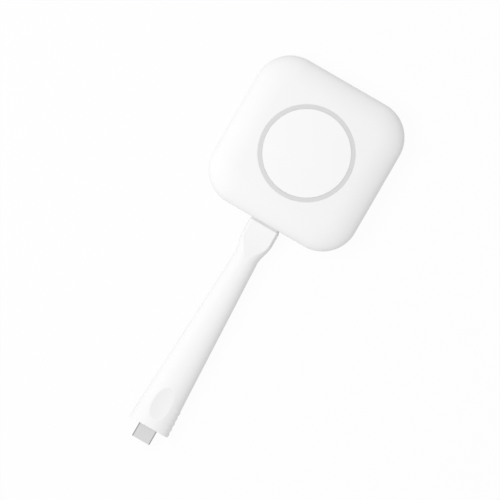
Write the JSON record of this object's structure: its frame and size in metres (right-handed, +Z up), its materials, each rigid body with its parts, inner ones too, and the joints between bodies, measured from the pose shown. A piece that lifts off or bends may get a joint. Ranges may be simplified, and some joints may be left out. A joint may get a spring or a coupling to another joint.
{
  "type": "wireless dongle",
  "caption": "Flat square wireless dongle with a large round press button inside a light ring, and a flexible flared tail that ends in a USB-C plug.",
  "frame": {"origin": "middle of the underside of the anti-slip pad, on the ground under the button", "axes": "+Z up through the button, +Y away from the tail (the tail and its plug point along -Y), +X to the right seen from above with the tail towards the viewer"},
  "size_m": [0.068, 0.172, 0.0145],
  "materials": {
    "shell_white": "fine satin moulded plastic, white",
    "pad_grey": "matte soft rubber, mid grey",
    "screw_steel": "zinc-plated steel",
    "ring_diffuser": "translucent light-grey diffuser, satin",
    "cap_white": "fine satin moulded plastic, white",
    "spring_steel": "bright spring wire",
    "frame_white": "white reflector plastic",
    "switch_black": "black moulded plastic",
    "contact_gold": "gold-plated contacts",
    "stem_cream": "natural nylon",
    "ferrite_black": "flexible ferrite sheet",
    "flex_copper": "copper on flexible film",
    "board_green": "solder-masked circuit board",
    "lamp_yellow": "phosphor and clear resin",
    "chip_black": "moulded chip package",
    "crystal_steel": "plain metal lid",
    "inductor_grey": "pressed ferrite powder",
    "capacitor_tan": "ceramic",
    "shield_steel": "tinned sheet steel",
    "thermal_grey": "soft silicone gap filler",
    "spreader_aluminium": "rolled aluminium plate",
    "antenna_gold": "gold-flashed stamped sheet",
    "socket_cream": "natural connector plastic",
    "wire_grey": "insulated wires in four colours",
    "anchor_white": "white moulded nylon",
    "cable_grey": "round cable jacket",
    "sleeve_white": "soft-touch white elastomer, fine satin",
    "ferrule_brass": "crimped brass",
    "core_plastic": "natural inner moulding",
    "plug_steel": "drawn stainless steel, fine satin",
    "insulator_black": "black contact carrier"
  },
  "bodies": {
    "housing": {"top_shell": "shell_white", "bottom_shell": "shell_white", "base_pad": "pad_grey", "case_screws": "screw_steel", "light_ring": "ring_diffuser", "button_springs": "spring_steel", "button_frame": "frame_white", "frame_screws": "screw_steel", "switch_body": "switch_black", "switch_contacts": "contact_gold", "nfc_ferrite": "ferrite_black", "nfc_antenna": "flex_copper", "main_board": "board_green", "status_leds": "lamp_yellow", "processor": "chip_black", "memory_chips": "chip_black", "flash_chip": "chip_black", "crystal": "crystal_steel", "power_inductors": "inductor_grey", "capacitors": "capacitor_tan", "soc_shield_frame": "shield_steel", "soc_shield_lid": "shield_steel", "thermal_pads": "thermal_grey", "heat_spreader": "spreader_aluminium", "wifi_module": "board_green", "wifi_shield": "shield_steel", "antenna_left": "antenna_gold", "antenna_right": "antenna_gold", "lead_socket": "socket_cream", "lead_plug": "socket_cream", "lead_wires": "wire_grey", "tail_anchor": "anchor_white", "tail_cable": "cable_grey", "tail_sleeve": "sleeve_white", "crimp_ferrule": "ferrule_brass", "plug_core": "core_plastic", "plug_back_can": "shield_steel", "paddle_board": "board_green", "plug_shell": "plug_steel", "plug_insulator": "insulator_black", "plug_contacts_top": "contact_gold", "plug_contacts_bottom": "contact_gold", "plug_latches": "screw_steel"},
    "button": {"button_cap": "cap_white"},
    "switch_plunger": {"switch_stem": "stem_cream"}
  },
  "joints": [
    {"name": "button_press", "type": "slide", "parent": "housing", "child": "button", "axis": [0, 0, -1], "range_m": [0, 0.0004], "stiffness_N_per_m": 1500, "springref_m": -0.0007, "deforming": ["button_springs"]},
    {"name": "switch_press", "type": "slide", "parent": "housing", "child": "switch_plunger", "axis": [0, 0, -1], "range_m": [0, 0.0004]}
  ],
  "couplings": [
    {"joint": "switch_press", "follows": "button_press", "ratio": 1}
  ]
}
